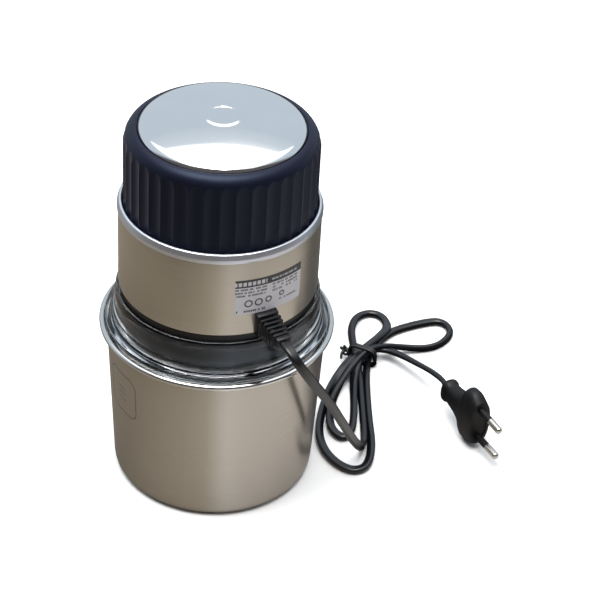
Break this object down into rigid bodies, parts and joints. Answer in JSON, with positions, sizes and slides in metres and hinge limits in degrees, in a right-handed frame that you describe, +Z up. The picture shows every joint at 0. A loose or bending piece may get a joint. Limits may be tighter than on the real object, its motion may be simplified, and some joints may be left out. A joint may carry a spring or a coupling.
{
  "type": "electric grain grinder",
  "caption": "Two-in-one electric grain grinder: a motor unit with a press-down fluted lid and dry grinding cup stands on a clear lid over a round steel chopping bowl; mains cord in a tied hank.",
  "frame": {"origin": "centre of the bowl's foot, on the surface it stands on", "axes": "+Z up along the bowl, motor and lid axis; -Y is the front, with the cord and the label about 30 degrees to its right (+X)"},
  "size_m": [0.2136, 0.2058, 0.21],
  "materials": {
    "brushed_steel": "brushed",
    "polished_steel": "polished",
    "mirror_steel": "mirror polish",
    "silver_trim": "satin",
    "black_plastic": "fine matte",
    "fluted_plastic": "soft satin",
    "white_plastic": "matte",
    "clear_plastic": "clear, glossy",
    "silicone": "matte",
    "black_rubber": "matte",
    "blade_steel": "ground",
    "shaft_steel": "turned",
    "core_steel": "laminated",
    "copper": "enamelled wire",
    "commutator_copper": "turned",
    "carbon": "pressed carbon",
    "bronze": "sintered",
    "zinc": "die cast",
    "screw_steel": "zinc plated",
    "label_white": "printed film",
    "cord_black": "satin PVC",
    "plug_black": "moulded PVC",
    "pin_nickel": "nickel plated",
    "tie_black": "plastic coated wire"
  },
  "bodies": {
    "bowl": {"steel_bowl": "brushed_steel", "bowl_spindle": "shaft_steel", "mains_lead": "cord_black", "cord_hank": "cord_black", "cord_tie": "tie_black", "cord_tail": "cord_black", "plug_body": "plug_black", "plug_pins": "pin_nickel"},
    "chopper": {"chopper_hub": "white_plastic", "lower_chopping_blade": "blade_steel", "upper_chopping_blade": "blade_steel", "hub_spacers": "white_plastic"},
    "bowl_lid": {"clear_lid": "clear_plastic", "lid_seal": "silicone"},
    "motor_unit": {"base_cover": "black_plastic", "base_ring": "black_rubber", "motor_chassis": "black_plastic", "body_band": "brushed_steel", "shoulder_ring": "silver_trim", "stator_core": "core_steel", "field_coils": "copper", "lower_bracket": "zinc", "upper_bracket": "zinc", "lower_bush": "bronze", "upper_bush": "bronze", "brush_holders": "bronze", "carbon_brushes": "carbon", "brush_springs": "screw_steel", "motor_mounts": "black_rubber", "motor_screws": "screw_steel", "base_screws": "screw_steel", "grinding_cup": "polished_steel", "cup_gasket": "silicone", "shaft_seal": "black_rubber", "return_springs": "screw_steel", "safety_switch": "black_plastic", "internal_leads": "cord_black", "rating_label": "label_white", "strain_relief": "black_rubber", "cord_clamp": "black_plastic"},
    "rotor": {"motor_shaft": "shaft_steel", "armature_core": "core_steel", "armature_windings": "copper", "commutator": "commutator_copper", "cooling_fan": "white_plastic", "drive_dog": "white_plastic", "grinding_blade": "blade_steel", "blade_spacer": "shaft_steel", "blade_nut": "shaft_steel"},
    "press": {"press_ring": "black_plastic"},
    "plunger": {"switch_plunger": "white_plastic"},
    "grinder_lid": {"fluted_grip": "fluted_plastic", "mirror_cap": "mirror_steel", "lid_liner": "black_plastic", "liner_gasket": "silicone"}
  },
  "joints": [
    {"name": "motor_unit_lift", "type": "slide", "parent": "bowl", "child": "motor_unit", "axis": [0, 0, 1], "range_m": [0, 0.05]},
    {"name": "bowl_lid_lift", "type": "slide", "parent": "bowl", "child": "bowl_lid", "axis": [0, 0, 1], "range_m": [0, 0.02]},
    {"name": "chopper_spin", "type": "hinge", "parent": "bowl", "child": "chopper", "pos_m": [0, 0, 0.03], "axis": [0, 0, 1], "continuous": true},
    {"name": "rotor_spin", "type": "hinge", "parent": "motor_unit", "child": "rotor", "pos_m": [0, 0, 0.12], "axis": [0, 0, 1], "continuous": true},
    {"name": "press_travel", "type": "slide", "parent": "motor_unit", "child": "press", "axis": [0, 0, 1], "range_m": [-0.0025, 0], "stiffness_N_per_m": 3200, "springref_m": 0.003, "deforming": ["return_springs"]},
    {"name": "plunger_travel", "type": "slide", "parent": "motor_unit", "child": "plunger", "axis": [0, 0, 1], "range_m": [-0.001, 0]},
    {"name": "grinder_lid_lift", "type": "slide", "parent": "press", "child": "grinder_lid", "axis": [0, 0, 1], "range_m": [0, 0.06]}
  ],
  "couplings": [
    {"joint": "bowl_lid_lift", "follows": "motor_unit_lift", "ratio": 0.4},
    {"joint": "chopper_spin", "follows": "rotor_spin", "ratio": 1},
    {"joint": "plunger_travel", "follows": "press_travel", "ratio": 0.4}
  ]
}
